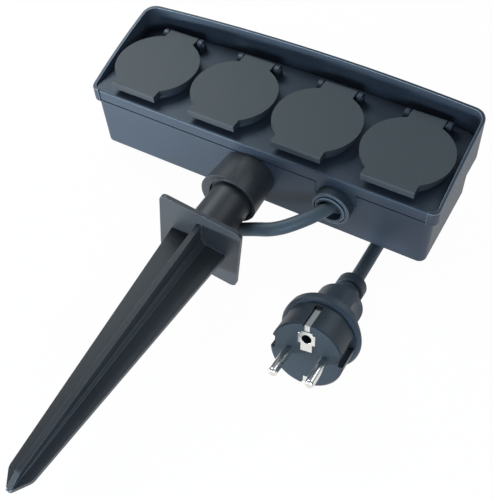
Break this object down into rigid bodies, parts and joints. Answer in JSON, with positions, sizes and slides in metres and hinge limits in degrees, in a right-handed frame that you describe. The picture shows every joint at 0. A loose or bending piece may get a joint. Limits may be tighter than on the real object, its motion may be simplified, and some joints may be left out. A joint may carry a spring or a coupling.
{
  "type": "garden_socket_spike",
  "caption": "Black garden socket box with hinged lids, a rain hood, a ground spike and a mains cable with plug, lying on its back",
  "frame": {"origin": "Midway between the two wall screw holes in the back of the box, on the plane that the feet and standoffs stand on", "axes": "+Z out of the socket face, +Y across the box away from the spike, +X along the row of sockets towards the cable gland"},
  "size_m": [0.2226, 0.3544, 0.0683],
  "materials": {
    "housing_plastic": "satin",
    "lid_plastic": "satin",
    "cup_plastic": "satin",
    "seal_rubber": "matte",
    "cable_rubber": "matte",
    "plug_plastic": "satin",
    "spike_plastic": "satin",
    "nickel": "polished",
    "brass": "satin",
    "zinc_steel": "satin",
    "inner_plastic": "matte",
    "wire_brown": "satin",
    "wire_blue": "satin",
    "wire_green": "satin",
    "tie_plastic": "satin"
  },
  "bodies": {
    "root": {"base_housing": "housing_plastic", "cable_clamp": "inner_plastic", "cable_gland": "cable_rubber", "cable_hank": "cable_rubber", "cable_sheath": "cable_rubber", "carrier_screws": "zinc_steel", "clamp_screws": "zinc_steel", "contact_carrier": "inner_plastic", "cover_gasket": "seal_rubber", "earth_rail": "brass", "front_cover": "housing_plastic", "hank_ties": "tie_plastic", "hinge_pin_1": "zinc_steel", "hinge_pin_2": "zinc_steel", "hinge_pin_3": "zinc_steel", "hinge_pin_4": "zinc_steel", "housing_screws": "zinc_steel", "lid_spring_1": "zinc_steel", "lid_spring_2": "zinc_steel", "lid_spring_3": "zinc_steel", "lid_spring_4": "zinc_steel", "live_rail": "brass", "mains_cable_in": "cable_rubber", "mains_cable_out": "cable_rubber", "neutral_rail": "brass", "plug_body": "plug_plastic", "plug_earth_straps": "nickel", "plug_insert": "plug_plastic", "plug_pins": "nickel", "plug_tail": "cable_rubber", "rain_hood": "housing_plastic", "socket_cup_1": "cup_plastic", "socket_cup_2": "cup_plastic", "socket_cup_3": "cup_plastic", "socket_cup_4": "cup_plastic", "spike_tube": "housing_plastic", "terminal_screws": "zinc_steel", "tube_screws": "zinc_steel", "wire_earth": "wire_green", "wire_live": "wire_brown", "wire_neutral": "wire_blue"},
    "lid_leaf_1": {"lid_1": "lid_plastic", "lid_seal_1": "seal_rubber"},
    "lid_leaf_2": {"lid_2": "lid_plastic", "lid_seal_2": "seal_rubber"},
    "lid_leaf_3": {"lid_3": "lid_plastic", "lid_seal_3": "seal_rubber"},
    "lid_leaf_4": {"lid_4": "lid_plastic", "lid_seal_4": "seal_rubber"},
    "bush_ring": {"spike_bush": "spike_plastic"},
    "spike": {"ground_spike": "spike_plastic"}
  },
  "joints": [
    {"name": "lid_hinge_1", "type": "hinge", "parent": "root", "child": "lid_leaf_1", "pos_m": [-0.081, 0.0295, 0.0563], "axis": [-1, 0, 0], "range_deg": [0, 100], "stiffness_Nm_per_rad": 0.02, "springref_deg": -28.65},
    {"name": "lid_hinge_2", "type": "hinge", "parent": "root", "child": "lid_leaf_2", "pos_m": [-0.027, 0.0295, 0.0563], "axis": [-1, 0, 0], "range_deg": [0, 100], "stiffness_Nm_per_rad": 0.02, "springref_deg": -28.65},
    {"name": "lid_hinge_3", "type": "hinge", "parent": "root", "child": "lid_leaf_3", "pos_m": [0.027, 0.0295, 0.0563], "axis": [-1, 0, 0], "range_deg": [0, 100], "stiffness_Nm_per_rad": 0.02, "springref_deg": -28.65},
    {"name": "lid_hinge_4", "type": "hinge", "parent": "root", "child": "lid_leaf_4", "pos_m": [0.081, 0.0295, 0.0563], "axis": [-1, 0, 0], "range_deg": [0, 100], "stiffness_Nm_per_rad": 0.02, "springref_deg": -28.65},
    {"name": "spike_turn", "type": "hinge", "parent": "root", "child": "bush_ring", "pos_m": [0, -0.043, 0.0307], "axis": [0, -1, 0], "continuous": true},
    {"name": "spike_pull", "type": "slide", "parent": "bush_ring", "child": "spike", "axis": [0, -1, 0], "range_m": [0, 0.02]}
  ]
}
